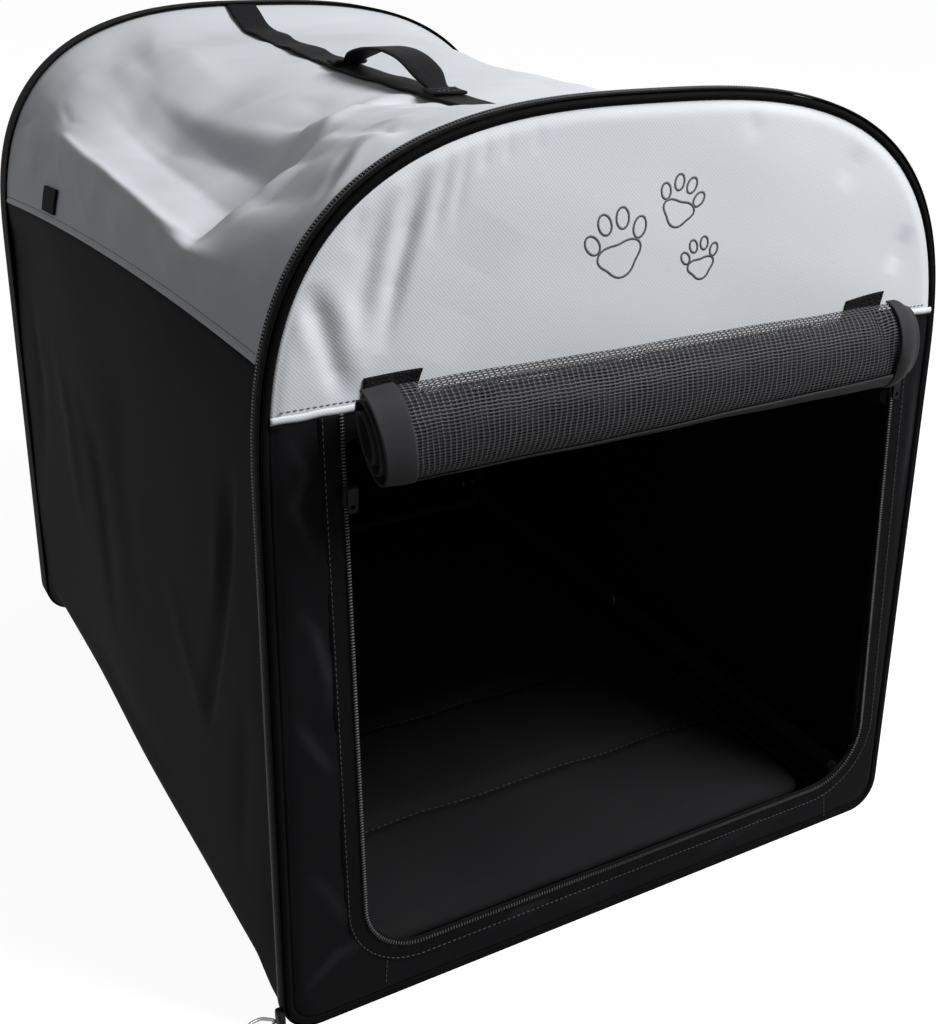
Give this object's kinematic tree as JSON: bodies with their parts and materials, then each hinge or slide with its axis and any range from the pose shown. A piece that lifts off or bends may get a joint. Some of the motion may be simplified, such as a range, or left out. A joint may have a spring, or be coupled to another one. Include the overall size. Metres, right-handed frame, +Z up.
{
  "type": "soft-sided pet carrier",
  "caption": "Folding soft-sided pet carrier with an arched steel frame, a roll-up mesh front door, zip sliders and a webbing carry handle.",
  "frame": {"origin": "middle of the base, on the surface that the carrier stands on", "axes": "+X to the right of someone who looks at the door, +Y from the door to the rear, +Z up"},
  "size_m": [0.484, 0.6466, 0.53],
  "materials": {
    "grey_cloth": "silver-grey woven polyester",
    "black_cloth": "black woven polyester",
    "binding": "black ribbed binding and zip tape",
    "webbing": "black webbing",
    "mesh": "black open mesh",
    "hook": "black hook-and-loop tape",
    "pad": "dark quilted pad",
    "frame_steel": "black powder coat",
    "rivet_steel": "zinc plated",
    "elbow_plastic": "black moulded nylon",
    "slider_metal": "black lacquered zinc"
  },
  "bodies": {
    "rear_frame": {"rear_hoop_tube": "frame_steel", "rear_bottom_bar": "frame_steel", "rear_left_elbow": "elbow_plastic", "rear_right_elbow": "elbow_plastic", "rear_upper_panel": "grey_cloth", "rear_lower_panel": "black_cloth", "rear_piping": "binding", "left_wall": "black_cloth", "right_wall": "black_cloth", "roof_sheet": "grey_cloth", "hook_patch": "hook", "roof_strap": "webbing", "floor_sheet": "black_cloth", "floor_mat": "pad", "lower_rear_left_rivet": "rivet_steel", "lower_rear_right_rivet": "rivet_steel", "upper_rear_left_rivet": "rivet_steel", "upper_rear_right_rivet": "rivet_steel"},
    "lower_rear_rails": {"lower_rear_left_rail": "frame_steel", "lower_rear_right_rail": "frame_steel", "lower_middle_left_rivet": "rivet_steel", "lower_middle_right_rivet": "rivet_steel"},
    "lower_front_rails": {"lower_front_left_rail": "frame_steel", "lower_front_right_rail": "frame_steel"},
    "upper_rear_rails": {"upper_rear_left_rail": "frame_steel", "upper_rear_right_rail": "frame_steel", "upper_middle_left_rivet": "rivet_steel", "upper_middle_right_rivet": "rivet_steel"},
    "upper_front_rails": {"upper_front_left_rail": "frame_steel", "upper_front_right_rail": "frame_steel"},
    "front_frame": {"front_hoop_tube": "frame_steel", "front_bottom_bar": "frame_steel", "front_left_elbow": "elbow_plastic", "front_right_elbow": "elbow_plastic", "front_upper_panel": "grey_cloth", "front_lower_panel": "black_cloth", "front_piping": "binding", "door_zip_tape": "binding", "left_tab": "hook", "right_tab": "hook", "lower_front_left_rivet": "rivet_steel", "lower_front_right_rivet": "rivet_steel", "upper_front_left_rivet": "rivet_steel", "upper_front_right_rivet": "rivet_steel"},
    "mesh_door": {"mesh_door_roll": "mesh", "left_door_binding": "binding", "right_door_binding": "binding"},
    "left_slider": {"left_zip_slider": "slider_metal"},
    "left_pull": {"left_zip_pull": "slider_metal"},
    "right_slider": {"right_zip_slider": "slider_metal"},
    "right_pull": {"right_zip_pull": "slider_metal"},
    "rim_slider": {"rim_zip_slider": "slider_metal"},
    "rim_pull": {"rim_zip_pull": "webbing"},
    "handle": {"carry_handle": "webbing"}
  },
  "joints": [
    {"name": "fold", "type": "hinge", "parent": "rear_frame", "child": "lower_rear_rails", "pos_m": [0, 0.2917, 0.034], "axis": [-1, 0, 0], "range_deg": [0, 84], "deforming": ["left_wall", "right_wall", "roof_sheet", "hook_patch", "roof_strap", "carry_handle", "floor_sheet", "floor_mat"]},
    {"name": "lower_middle_pivot", "type": "hinge", "parent": "lower_rear_rails", "child": "lower_front_rails", "pos_m": [0, 0, 0.034], "axis": [1, 0, 0], "range_deg": [0, 168]},
    {"name": "front_frame_pivot", "type": "hinge", "parent": "lower_front_rails", "child": "front_frame", "pos_m": [0, -0.2917, 0.034], "axis": [-1, 0, 0], "range_deg": [0, 84]},
    {"name": "upper_rear_pivot", "type": "hinge", "parent": "rear_frame", "child": "upper_rear_rails", "pos_m": [0, 0.2917, 0.32], "axis": [1, 0, 0], "range_deg": [0, 84]},
    {"name": "upper_middle_pivot", "type": "hinge", "parent": "upper_rear_rails", "child": "upper_front_rails", "pos_m": [0, 0, 0.32], "axis": [-1, 0, 0], "range_deg": [0, 168]},
    {"name": "door_swing", "type": "hinge", "parent": "front_frame", "child": "mesh_door", "pos_m": [0, -0.3056, 0.4015], "axis": [-1, 0, 0], "range_deg": [0, 80]},
    {"name": "left_slide", "type": "slide", "parent": "front_frame", "child": "left_slider", "axis": [0.0242, 0, -0.9997], "range_m": [0, 0.245]},
    {"name": "right_slide", "type": "slide", "parent": "front_frame", "child": "right_slider", "axis": [0.0363, 0, -0.9993], "range_m": [0, 0.24]},
    {"name": "left_pull_swing", "type": "hinge", "parent": "left_slider", "child": "left_pull", "pos_m": [-0.1843, -0.3109, 0.34155], "axis": [-1, 0, 0], "range_deg": [0, 90]},
    {"name": "right_pull_swing", "type": "hinge", "parent": "right_slider", "child": "right_pull", "pos_m": [0.1951, -0.3109, 0.34155], "axis": [-1, 0, 0], "range_deg": [0, 90]},
    {"name": "rim_slide", "type": "slide", "parent": "front_frame", "child": "rim_slider", "axis": [0, 0, 1], "range_m": [0, 0.31]},
    {"name": "rim_pull_swing", "type": "hinge", "parent": "rim_slider", "child": "rim_pull", "pos_m": [-0.2359, -0.3015, 0.012], "axis": [0, 1, 0], "range_deg": [0, 90]},
    {"name": "handle_swing", "type": "hinge", "parent": "rear_frame", "child": "handle", "pos_m": [-0.012, 0, 0.5065], "axis": [0, 1, 0], "range_deg": [-40, 40]}
  ],
  "couplings": [
    {"joint": "lower_middle_pivot", "follows": "fold", "ratio": 2},
    {"joint": "front_frame_pivot", "follows": "fold", "ratio": 1},
    {"joint": "upper_rear_pivot", "follows": "fold", "ratio": 1},
    {"joint": "upper_middle_pivot", "follows": "fold", "ratio": 2}
  ]
}
